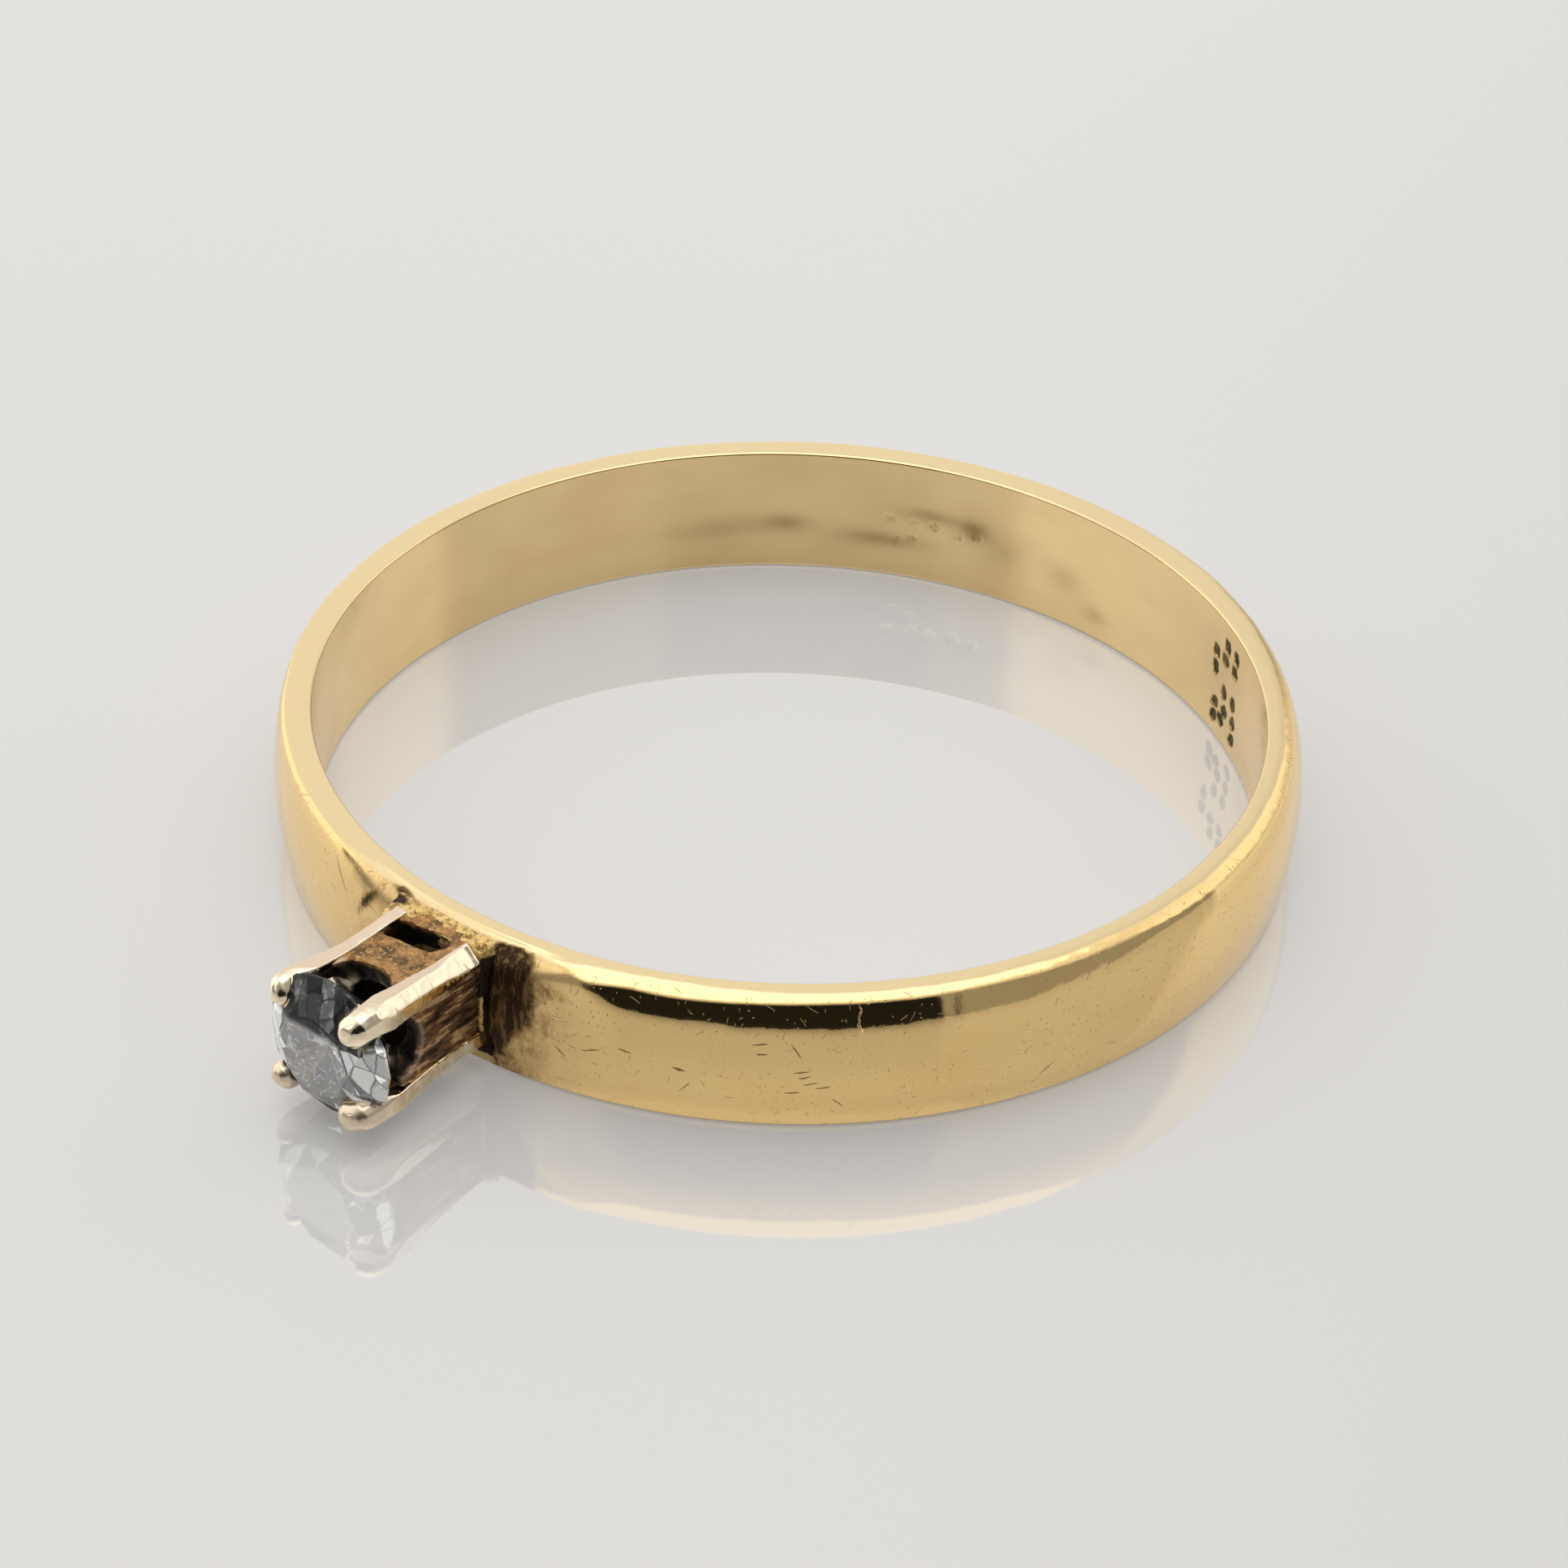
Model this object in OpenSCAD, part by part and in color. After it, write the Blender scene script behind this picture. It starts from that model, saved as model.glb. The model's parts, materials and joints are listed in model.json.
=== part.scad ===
// Four-claw solitaire engagement ring, lying on the side of its band.
// The finger hole's axis is +Z and the ring's centre is the origin.
// The head stands out along -Y.

/* [Shank] */
// Inner diameter of the band, which is the finger size
finger_d = 17.3; // [16.5:0.1:18.5]
// Width of the band, along the finger
band_w = 2.6; // [2.55:0.05:2.7]
// Thickness of the band at the middle of its width
band_t = 0.7; // [0.68:0.01:0.76]
// Radial width of the flat face at each side of the band
side_flat = 0.48; // [0.44:0.01:0.5]
// Radius that rounds the outer edges of the band
edge_r = 0.1; // [0.06:0.01:0.11]
// Chamfer that breaks the two edges of the finger hole
inner_break = 0.05; // [0.03:0.01:0.1]

/* [Stone] */
// Diameter of the round brilliant at its girdle
stone_d = 2.7; // [2.66:0.01:2.74]
// Diameter of the table as a fraction of the stone's
table_ratio = 0.57; // [0.53:0.01:0.6]
// Height of the crown as a fraction of the stone's diameter
crown_ratio = 0.145; // [0.13:0.005:0.15]
// Depth of the pavilion as a fraction of the stone's diameter
pavilion_ratio = 0.43; // [0.42:0.005:0.44]
// Thickness of the girdle
girdle_t = 0.06; // [0.04:0.01:0.08]

/* [Head] */
// Height of the head's middle above the middle of the band's width
head_rise = 0.27; // [0:0.01:0.28]
// Width across the four claws where they meet the shank
head_base_w = 2.16; // [2.1:0.01:2.2]
// Width across the four claws beside the stone
head_top_w = 2.36; // [2.32:0.01:2.4]
// Width of the window between two claws
claw_gap = 1.42; // [1.38:0.01:1.46]
// Outer width of the collet between its claws
collet_w = 1.86; // [1.8:0.01:1.9]
// Diameter of the hole through the collet
collet_hole_d = 1.26; // [1.2:0.01:1.3]
// Height of the collet above its seat on the shank
collet_h = 2.15; // [2.1:0.01:2.2]
// Radius of the U-shaped notch in each wall of the collet
notch_r = 0.48; // [0.44:0.01:0.5]
// Height of the girdle's lower edge above the collet's seat
girdle_h = 2.75; // [2.72:0.01:2.78]
// Height of the claw tips above the collet's seat
claw_h = 3.14; // [3.12:0.01:3.16]

/* [Hidden] */
$fn = 96;
over = 0.5;

// Band section
hole_r = finger_d / 2;
crown_top_r = hole_r + band_t;
side_r = hole_r + side_flat;
edge_z = band_w / 2 - edge_r;
crown_drop = crown_top_r - side_r;
crown_arc_r = (crown_drop ^ 2 + edge_z ^ 2 - edge_r ^ 2) / (2 * (crown_drop - edge_r));
crown_arc_c = crown_top_r - crown_arc_r;
blend_z = edge_z * crown_arc_r / (crown_arc_r - edge_r);

// Head, as distances from the ring's centre
seat_out = crown_top_r - 0.15;
girdle_out = seat_out + girdle_h;
tip_out = seat_out + claw_h;
collet_out = seat_out + collet_h;
claw_in = claw_gap / 2;
slot_r = 0.23;
slot_w = 1.15;
slot_out = seat_out + 0.58;
solder_out = seat_out + 0.34;

// Stone
stone_r = stone_d / 2;
table_r = stone_r * table_ratio;
crown_h = stone_d * crown_ratio;
pavilion_h = stone_d * pavilion_ratio;
crown_slope = crown_h / (stone_r - table_r);
pavilion_slope = pavilion_h / stone_r;
star_r = (table_r * cos(22.5) + stone_r) / 2;
lower_r = stone_r * 0.24;
star_h = girdle_t + (stone_r - star_r * cos(22.5)) * crown_slope;
lower_h = -(stone_r - lower_r * cos(22.5)) * pavilion_slope;
table_h = girdle_t + crown_h;

// One point of the stone, at a radius, an angle and a height
function stone_point(r, a, h) = [r * cos(a), r * sin(a), h];

// Points of one ring of the stone, from its first angle in even steps
function stone_ring(r, h, count, first) =
    [for (i = [0 : count - 1]) stone_point(r, first + i * 360 / count, h)];

// Places a head piece, drawn upright at the centre, out along -Y
module on_head() {
    translate([0, 0, head_rise]) rotate([90, 0, 0]) children();
}

module band_section() {
    difference() {
        union() {
            translate([hole_r, -band_w / 2]) square([side_flat, band_w]);
            for (side = [-1, 1]) {
                translate([side_r, side * edge_z]) circle(edge_r);
            }
            intersection() {
                translate([hole_r, -blend_z]) square([band_t + over, 2 * blend_z]);
                translate([crown_arc_c, 0]) circle(crown_arc_r);
            }
        }
        for (side = [-1, 1]) {
            translate([hole_r, side * band_w / 2]) rotate(45)
                square(inner_break * sqrt(2), center = true);
        }
    }
}

module band_ring() {
    rotate_extrude($fn = 240) band_section();
}

// The block that is filed off the band where the head sits
module seat_cut() {
    on_head() translate([-head_base_w / 2, -2 * band_w, seat_out])
        cube([head_base_w, 4 * band_w, 2 * band_t]);
}

module shank() {
    color("#d6b45e") difference() {
        band_ring();
        seat_cut();
    }
}

// Solid of revolution that just holds the faceted stone
module stone_envelope() {
    translate([0, 0, girdle_out]) rotate_extrude() polygon([
        [0, -pavilion_h],
        [lower_r, lower_h],
        [stone_r, 0],
        [stone_r, girdle_t],
        [star_r, star_h],
        [table_r, table_h],
        [0, table_h]
    ]);
}

module stone() {
    // Rings from the culet to the table, and the facets between them
    points = concat(
        [[0, 0, -pavilion_h]],
        stone_ring(lower_r, lower_h, 8, 22.5),
        stone_ring(stone_r, 0, 16, 0),
        stone_ring(stone_r, girdle_t, 16, 0),
        stone_ring(star_r, star_h, 8, 22.5),
        stone_ring(table_r, table_h, 8, 0)
    );
    lower = 1;
    girdle_a = 9;
    girdle_b = 25;
    star = 41;
    table = 49;
    faces = concat(
        [for (i = [0 : 7]) [0, lower + i, girdle_a + 2 * i, lower + (i + 7) % 8]],
        [for (i = [0 : 7]) [lower + i, girdle_a + 2 * i + 1, girdle_a + 2 * i]],
        [for (i = [0 : 7]) [lower + i, girdle_a + (2 * i + 2) % 16, girdle_a + 2 * i + 1]],
        [for (i = [0 : 15]) [girdle_a + i, girdle_a + (i + 1) % 16,
                             girdle_b + (i + 1) % 16, girdle_b + i]],
        [for (i = [0 : 7]) [girdle_b + 2 * i, girdle_b + 2 * i + 1, star + i]],
        [for (i = [0 : 7]) [girdle_b + 2 * i + 1, girdle_b + (2 * i + 2) % 16, star + i]],
        [for (i = [0 : 7]) [table + i, star + (i + 7) % 8, girdle_b + 2 * i, star + i]],
        [for (i = [0 : 7]) [table + i, star + i, table + (i + 1) % 8]],
        [[for (i = [0 : 7]) table + i]]
    );
    flipped = [for (f = faces) [for (i = [len(f) - 1 : -1 : 0]) f[i]]];
    color("#cfd6dc") on_head() translate([0, 0, girdle_out])
        polyhedron(points = points, faces = flipped);
}

// Section of one claw, reaching from the collet's corner out to half_w
module claw_section(half_w) {
    bevel = 0.15;
    polygon([
        [claw_in, claw_in],
        [half_w, claw_in],
        [half_w, half_w - bevel],
        [half_w - bevel, half_w],
        [claw_in, half_w]
    ]);
}

// A claw in the quarter where x and y are positive
module claw_solid() {
    slab = 0.01;
    tip_r = 0.16;
    outer = head_top_w / 2 - 0.22;
    inner = claw_in - 0.02;
    difference() {
        hull() {
            translate([0, 0, seat_out]) linear_extrude(slab)
                claw_section(head_base_w / 2);
            translate([0, 0, girdle_out]) linear_extrude(slab)
                claw_section(head_top_w / 2);
            translate([outer, outer, tip_out - tip_r - 0.04]) sphere(tip_r, $fn = 32);
            translate([inner, inner, tip_out - tip_r]) sphere(tip_r, $fn = 32);
        }
        stone_envelope();
        collet_solid();
    }
}

// One claw, at the left or right (-1 or 1) and below or above (-1 or 1)
module claw(side, level) {
    color("#e3d3a6") on_head()
        mirror([side < 0 ? 1 : 0, 0, 0])
            mirror([0, level < 0 ? 1 : 0, 0])
                claw_solid();
}

module claw_upper_left() {
    claw(-1, 1);
}

module claw_upper_right() {
    claw(1, 1);
}

module claw_lower_left() {
    claw(-1, -1);
}

module claw_lower_right() {
    claw(1, -1);
}

// Cross-shaped outline whose four corners hold the claws
module collet_outline() {
    square([collet_w, claw_gap], center = true);
    square([claw_gap, collet_w], center = true);
}

// The collet before its notches and slots are cut
module collet_solid() {
    translate([0, 0, seat_out]) linear_extrude(collet_h) collet_outline();
}

module collet() {
    color("#a07f4a") on_head() difference() {
        collet_solid();
        translate([0, 0, seat_out - over]) cylinder(r = collet_hole_d / 2, h = collet_h + 2 * over);
        stone_envelope();
        // U-shaped notches under the stone
        for (turn = [0, 90]) {
            translate([0, 0, collet_out]) rotate([90, 0, turn])
                cylinder(r = notch_r, h = 2 * collet_w, center = true);
        }
        // Long slots near the shank, through the upper and lower walls
        translate([0, 0, slot_out]) rotate([90, 0, 0])
            linear_extrude(2 * collet_w, center = true) {
                square([slot_w - 2 * slot_r, 2 * slot_r], center = true);
                for (side = [-1, 1]) {
                    translate([side * (slot_w / 2 - slot_r), 0]) circle(slot_r);
                }
            }
    }
}

// Solder that fills round the foot of the head
module head_solder() {
    foot_out = seat_out - 0.12;
    foot_w = head_base_w + 0.4;
    foot_low = -band_w / 2 - head_rise + 0.14;
    foot_high = band_w / 2 - head_rise - 0.01;
    foot_l = foot_high - foot_low;
    top_high = head_base_w / 2 - 0.04;
    rise = solder_out - foot_out;
    slope = 0.14;
    color("#c9a548") difference() {
        on_head() translate([0, 0, foot_out]) hull() {
            translate([-foot_w / 2, foot_low, 0]) cube([foot_w, foot_l, 0.1]);
            translate([slope - foot_w / 2, foot_low + 2 * slope, rise - 0.02])
                cube([foot_w - 2 * slope, top_high - foot_low - 2 * slope, 0.02]);
        }
        shank();
        on_head() {
            translate([0, 0, seat_out - over]) linear_extrude(collet_h)
                square(claw_gap, center = true);
            translate([0, 0, seat_out]) linear_extrude(collet_h) {
                collet_outline();
            }
        }
        for (side = [-1, 1]) {
            for (level = [-1, 1]) {
                claw(side, level);
            }
        }
    }
}

shank();
collet();
claw_upper_left();
claw_upper_right();
claw_lower_left();
claw_lower_right();
stone();
head_solder();
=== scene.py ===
"""Looks of a four-claw solitaire ring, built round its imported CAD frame.

Shapes are worked out in millimetres and scaled to metres as each mesh is made.
The ring lies on its side: +Z is the finger hole's axis and the head points along -Y.
Angles round the band start at the head and grow towards +X.
"""
import json
import math

import bmesh
import bpy
from mathutils import Matrix, Vector, noise


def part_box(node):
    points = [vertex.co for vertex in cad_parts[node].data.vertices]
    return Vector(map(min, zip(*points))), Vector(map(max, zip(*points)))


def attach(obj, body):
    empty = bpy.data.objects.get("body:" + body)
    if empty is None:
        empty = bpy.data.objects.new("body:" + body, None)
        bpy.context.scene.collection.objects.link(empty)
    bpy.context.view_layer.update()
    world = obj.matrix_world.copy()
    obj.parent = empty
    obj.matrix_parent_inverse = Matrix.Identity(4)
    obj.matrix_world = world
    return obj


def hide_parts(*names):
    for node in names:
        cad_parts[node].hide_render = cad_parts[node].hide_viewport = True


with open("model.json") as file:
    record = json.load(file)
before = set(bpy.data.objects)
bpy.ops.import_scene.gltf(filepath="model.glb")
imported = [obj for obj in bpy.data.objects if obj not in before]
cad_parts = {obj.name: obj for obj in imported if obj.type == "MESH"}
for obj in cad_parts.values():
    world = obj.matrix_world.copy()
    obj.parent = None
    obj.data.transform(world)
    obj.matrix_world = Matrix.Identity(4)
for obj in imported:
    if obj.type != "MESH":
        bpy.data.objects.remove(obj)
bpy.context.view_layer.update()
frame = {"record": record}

MM = 0.001

# ---------------- camera

CAMERA_AZIMUTH = 38.19
CAMERA_ELEVATION = 34.19
CAMERA_DISTANCE = 80.0
CAMERA_LENS = 100.15
CAMERA_YAW = -0.0425
CAMERA_PITCH = -0.404
CAMERA_ROLL = 1.872


def turn(first, second, degrees):
    """The two axes turned in their own plane, first towards minus second."""
    c, s = math.cos(math.radians(degrees)), math.sin(math.radians(degrees))
    return first * c - second * s, first * s + second * c


def make_camera():
    azimuth, elevation = math.radians(CAMERA_AZIMUTH), math.radians(CAMERA_ELEVATION)
    back = Vector((
        math.sin(azimuth) * math.cos(elevation),
        -math.cos(azimuth) * math.cos(elevation),
        math.sin(elevation),
    ))
    forward = -back
    right = Vector((math.cos(azimuth), math.sin(azimuth), 0.0))
    up = right.cross(forward)
    right, forward = turn(right, forward, CAMERA_YAW)
    up, forward = turn(up, forward, CAMERA_PITCH)
    up, right = turn(up, right, CAMERA_ROLL)
    data = bpy.data.cameras.new("camera")
    data.lens = CAMERA_LENS
    data.sensor_width = 36.0
    data.clip_start = 0.001
    data.clip_end = 10.0
    camera = bpy.data.objects.new("camera", data)
    bpy.context.scene.collection.objects.link(camera)
    pose = Matrix((right, up, -forward)).transposed().to_4x4()
    pose.translation = back * CAMERA_DISTANCE * MM
    camera.matrix_world = pose
    bpy.context.scene.camera = camera


make_camera()
bpy.context.scene.view_settings.view_transform = "Standard"

# ---------------- sizes from the frame

hole_r = next(m for m in frame["record"]["mounts"] if m["name"] == "finger_hole")["dims"]["r_mm"]
band_low, band_high = (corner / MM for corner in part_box("shank"))
stone_low, stone_high = (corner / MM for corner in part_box("stone"))
claw_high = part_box("claw_upper_right")[1] / MM
collet_low, collet_high = (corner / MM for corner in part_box("collet"))

half_w = band_high.z
head_rise = (collet_low.z + collet_high.z) / 2
crown_top_r = band_high.y
stone_r = stone_high.x
seat_out = -collet_high.y
collet_out = -collet_low.y
claw_half = claw_high.x
table_out = -stone_low.y

SIDE_FLAT = 0.48
EDGE_R = 0.1
INNER_BREAK = 0.05
side_r = hole_r + SIDE_FLAT
outer_mean_r = crown_top_r - 0.1

# Stone proportions, as in the CAD
TABLE_RATIO = 0.57
CROWN_RATIO = 0.145
PAVILION_RATIO = 0.43
GIRDLE_T = 0.06
table_r = stone_r * TABLE_RATIO
crown_h = 2 * stone_r * CROWN_RATIO
pavilion_h = 2 * stone_r * PAVILION_RATIO
girdle_out = table_out - crown_h - GIRDLE_T

# ---------------- mesh helpers


def smoothstep(low, high, x):
    t = min(max((x - low) / (high - low), 0.0), 1.0)
    return t * t * (3 - 2 * t)


def bell(*offsets):
    """1 where every offset is 0, falling smoothly to nearly 0 where one of them is 2."""
    return math.exp(-sum(offset ** 2 for offset in offsets))


def degrees_from(middle, angle):
    """How far an angle is from a middle one, from -180 to 180 degrees."""
    return (angle - middle + 180) % 360 - 180


def link(mesh, name):
    piece = bpy.data.objects.new(name, mesh)
    bpy.context.scene.collection.objects.link(piece)
    return piece


def mesh_object(name, points, faces, material, smooth=True, **attributes):
    """An object in metres from points in millimetres, with named values at its points."""
    mesh = bpy.data.meshes.new(name)
    mesh.from_pydata([tuple(c * MM for c in p) for p in points], [], faces)
    mesh.validate()
    bm = bmesh.new()
    bm.from_mesh(mesh)
    bmesh.ops.recalc_face_normals(bm, faces=bm.faces)
    bm.to_mesh(mesh)
    bm.free()
    for polygon in mesh.polygons:
        polygon.use_smooth = smooth
    for key, values in attributes.items():
        mesh.attributes.new(key, "FLOAT", "POINT").data.foreach_set("value", values)
    mesh.materials.append(material)
    return link(mesh, name)


def to_head(x, y, out):
    """A point of the head: x across, y up the finger axis, out from the ring's centre."""
    return (x, -out, y + head_rise)


# ---------------- node helpers


class Nodes:
    """Small helper that writes a node tree as expressions."""

    def __init__(self, tree):
        self.tree = tree

    def add(self, kind, **settings):
        node = self.tree.nodes.new(kind)
        for key, value in settings.items():
            setattr(node, key, value)
        return node

    def put(self, socket, value):
        if value is None:
            return
        if isinstance(value, bpy.types.NodeSocket):
            self.tree.links.new(value, socket)
        else:
            socket.default_value = value

    def fill(self, node, values):
        """Sets or links inputs of a node by their names."""
        for key, value in values.items():
            self.put(node.inputs[key], value)

    def math(self, operation, a, b=None, c=None, clamp=False):
        node = self.add("ShaderNodeMath", operation=operation, use_clamp=clamp)
        for socket, value in zip(node.inputs, (a, b, c)):
            self.put(socket, value)
        return node.outputs[0]

    def chain(self, operation, first, *others):
        """One operation on two or more values, from the first to the last."""
        for other in others:
            first = self.math(operation, first, other)
        return first

    def times(self, *values):
        return self.chain("MULTIPLY", *values)

    def plus(self, *values):
        return self.chain("ADD", *values)

    def larger(self, *values):
        return self.chain("MAXIMUM", *values)

    def minus(self, a, b):
        return self.math("SUBTRACT", a, b)

    def flip(self, value):
        """One minus a value."""
        return self.math("SUBTRACT", 1.0, value)

    def times_plus(self, a, b, c):
        return self.math("MULTIPLY_ADD", a, b, c)

    def vector(self, operation, a, b=None, c=None):
        node = self.add("ShaderNodeVectorMath", operation=operation)
        for socket, value in zip(node.inputs, (a, b, c)):
            self.put(socket, value)
        return node.outputs["Value" if operation in ("LENGTH", "DOT_PRODUCT") else "Vector"]

    def scaled(self, vector, amount):
        node = self.add("ShaderNodeVectorMath", operation="SCALE")
        self.fill(node, {"Vector": vector, "Scale": amount})
        return node.outputs["Vector"]

    def step(self, value, low, high):
        """0 below low, 1 above high, smooth between."""
        node = self.add("ShaderNodeMapRange", interpolation_type="SMOOTHSTEP")
        self.fill(node, {"Value": value, "From Min": low, "From Max": high})
        return node.outputs["Result"]

    def span(self, value, low, high, soft):
        """1 between low and high, falling to 0 over soft on each side."""
        rise = self.step(value, low - soft, low + soft)
        fall = self.step(value, high - soft, high + soft)
        return self.minus(rise, fall)

    def noise(self, vector, scale, detail=2.0, roughness=0.5, distortion=0.0, out="Fac"):
        node = self.add("ShaderNodeTexNoise")
        self.fill(node, {"Vector": vector, "Scale": scale, "Detail": detail})
        self.fill(node, {"Roughness": roughness, "Distortion": distortion})
        return node.outputs[out]

    def voronoi(self, vector, cell, feature="F1"):
        """A flat pattern of cells of about this size, in millimetres."""
        node = self.add("ShaderNodeTexVoronoi", voronoi_dimensions="2D", feature=feature)
        self.fill(node, {"Vector": vector, "Scale": 1 / cell})
        return node.outputs

    def mix(self, factor, a, b):
        """Colour mix."""
        node = self.add("ShaderNodeMix", data_type="RGBA")
        self.put(node.inputs["Factor"], factor)
        self.put(node.inputs[6], a)
        self.put(node.inputs[7], b)
        return node.outputs[2]

    def layered(self, base, *layers):
        """A base colour with others laid over it in turn, each by its amount."""
        for amount, colour in layers:
            base = self.mix(amount, base, colour)
        return base

    def mix_shader(self, factor, a, b):
        node = self.add("ShaderNodeMixShader")
        for socket, value in zip(node.inputs, (factor, a, b)):
            self.put(socket, value)
        return node.outputs[0]

    def attribute(self, name):
        return self.add("ShaderNodeAttribute", attribute_name=name).outputs["Fac"]

    def position(self):
        """The shaded point in millimetres, in the ring's frame."""
        return self.scaled(self.add("ShaderNodeTexCoord").outputs["Object"], 1 / MM)

    def split(self, vector):
        node = self.add("ShaderNodeSeparateXYZ")
        self.put(node.inputs[0], vector)
        return node.outputs

    def stretch(self, vector, factors):
        return self.vector("MULTIPLY", vector, factors)

    def mark(self, group, uv, u0, v0, u1, v1, half_width):
        """A straight mark on the band from the mark group."""
        node = self.add("ShaderNodeGroup", node_tree=group)
        self.fill(node, {"UV": uv, "U0": u0, "V0": v0, "U1": u1, "V1": v1, "Half width": half_width})
        return node.outputs[0]

    def join(self, x, y, z):
        node = self.add("ShaderNodeCombineXYZ")
        for socket, value in zip(node.inputs, (x, y, z)):
            self.put(socket, value)
        return node.outputs[0]

    def band_coords(self, position):
        """Millimetres round the band from the head, and along the finger axis."""
        x, y, z = self.split(position)
        angle = self.math("ARCTAN2", x, self.times(y, -1.0))
        return self.join(self.times(angle, outer_mean_r), z, 0.0)

    def bump(self, height, strength, distance, normal=None):
        """distance is in millimetres."""
        node = self.add("ShaderNodeBump")
        self.fill(node, {"Strength": strength, "Distance": distance * MM})
        self.fill(node, {"Height": height, "Normal": normal})
        return node.outputs[0]


def scratch_layer(nodes, uv, cell, length, width, share, wobble, lean, spread, seed):
    """Short scratches: one in each cell of a Voronoi pattern, for a share of the cells.

    Sizes are in millimetres. lean is the middle angle of the scratches and spread how far they vary.
    """
    shift = nodes.vector("ADD", uv, (seed * 7.31, seed * 3.17, 0.0))
    bend = nodes.vector("SUBTRACT", nodes.noise(shift, 1.1 / length, out="Color"), (0.5, 0.5, 0.5))
    bent = nodes.vector("MULTIPLY_ADD", bend, (wobble, wobble, 0.0), shift)
    cells = nodes.voronoi(bent, cell)
    dx, dy, _ = nodes.split(nodes.vector("SUBTRACT", bent, cells["Position"]))
    r, g, b = nodes.split(cells["Color"])
    angle = nodes.times_plus(nodes.minus(r, 0.5), spread, lean)
    c, s = nodes.math("COSINE", angle), nodes.math("SINE", angle)
    along = nodes.plus(nodes.times(dx, c), nodes.times(dy, s))
    across = nodes.minus(nodes.times(dy, c), nodes.times(dx, s))
    half = nodes.times(nodes.times_plus(b, 0.8, 0.35), length / 2)
    ends = nodes.math("DIVIDE", nodes.math("ABSOLUTE", along), half)
    inside = nodes.flip(nodes.step(ends, 0.6, 1.0))
    line = nodes.flip(nodes.step(nodes.math("ABSOLUTE", across), width * 0.3, width))
    chosen = nodes.math("LESS_THAN", g, share)
    return nodes.times(inside, line, chosen)


def new_material(name):
    material = bpy.data.materials.new(name)
    material.use_nodes = True
    nodes = Nodes(material.node_tree)
    shader = material.node_tree.nodes["Principled BSDF"]
    return material, nodes, shader


# ---------------- materials

GOLD = (0.92, 0.67, 0.305, 1.0)
GOLD_WARM = (0.88, 0.61, 0.255, 1.0)
RIM_GOLD = (0.84, 0.665, 0.37, 1.0)
INNER_GOLD = (0.94, 0.71, 0.365, 1.0)
PALE_GOLD = (0.95, 0.84, 0.63, 1.0)
CREAM_GOLD = (0.92, 0.76, 0.52, 1.0)
MATTE_GOLD = (0.78, 0.63, 0.47, 1.0)
TARNISH_AND_SHADE = (0.035, 0.02, 0.012, 1.0)
TARNISH_GREEN = (0.05, 0.065, 0.03, 1.0)
TARNISH_BROWN = (0.16, 0.07, 0.03, 1.0)
HANDLED_GOLD = (0.50, 0.32, 0.13, 1.0)
DULL_GOLD = (0.58, 0.39, 0.18, 1.0)
SMUDGE_BROWN = (0.30, 0.19, 0.08, 1.0)
STAIN_BROWN = (0.30, 0.17, 0.06, 1.0)
# Painted shade: the dark brown laid on the claws' outward flanks
FLANK_SHADE = (0.36, 0.22, 0.08, 1.0)
CLEAR = (0.95, 0.96, 0.97, 1.0)
MIRROR = (0.95, 0.95, 0.94, 1.0)
GRIME = (0.012, 0.013, 0.012, 1.0)
DIAMOND_IOR = 2.417
FLOOR_GREY = (0.385, 0.377, 0.37, 1.0)
FLOOR_LIGHT = (1.0, 0.985, 0.965, 1.0)
FLOOR_IOR = 2.1
FLOOR_GLOW = 0.22
SHARD_SIZE = 0.24

# Marks that can be told apart on the band: ends of each, in millimetres round the band
# from the head and along the finger axis, and the mark's half width
BAND_MARKS = [
    (2.87, -0.15, 3.2, -0.04, 0.022),
    (3.52, 0.08, 3.74, 0.04, 0.025),
    (4.45, -0.11, 4.66, -0.15, 0.04),
    (5.76, 0.52, 6.02, 0.56, 0.02),
    (5.83, 0.34, 6.01, 0.35, 0.022),
    (6.39, 0.57, 6.58, 0.27, 0.015),
    (2.37, -0.21, 2.58, -0.4, 0.018),
    (6.44, -0.02, 6.72, 0.02, 0.02),
    (6.53, -0.15, 6.74, -0.08, 0.018),
    (6.61, -0.28, 6.85, -0.22, 0.018),
    (6.82, -0.35, 7.07, -0.32, 0.022),
    (6.31, -0.46, 6.55, -0.44, 0.02),
    (7.09, -0.59, 7.3, -0.79, 0.015),
    (4.56, -0.62, 4.75, -0.37, 0.014),
    (10.76, -0.79, 11.02, -0.57, 0.014),
    (-2.94, 1.08, -2.41, 0.53, 0.015),
]
BAND_GASH = (7.73, 1.24, 7.75, 0.48, 0.03)


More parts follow.
